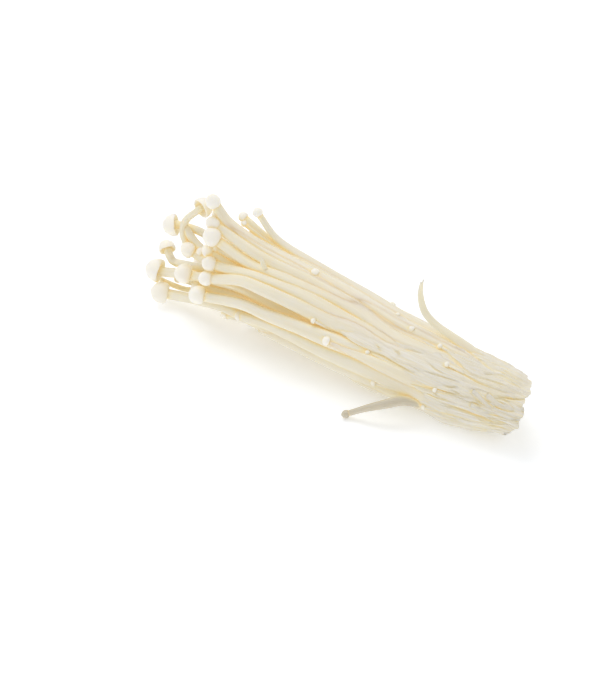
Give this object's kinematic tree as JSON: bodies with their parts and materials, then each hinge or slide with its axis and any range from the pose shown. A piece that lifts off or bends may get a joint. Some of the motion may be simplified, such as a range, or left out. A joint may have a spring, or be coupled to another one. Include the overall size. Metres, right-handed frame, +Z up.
{
  "type": "enoki mushroom bunch",
  "caption": "Bunch of long thin pale mushrooms with small button caps, grown together at a slant-cut fibrous root end and lying on its side.",
  "frame": {"origin": "centre of the bounding box's bottom, on the surface that the bunch lies on", "axes": "+X along the bunch towards its cut root end, +Y across it to the far side, +Z up from the surface"},
  "size_m": [0.1606, 0.0503, 0.0497],
  "materials": {
    "flesh": "satin, ivory, slightly translucent mushroom flesh"
  },
  "bodies": {
    "root": {"enoki_bunch": "flesh"}
  },
  "joints": []
}
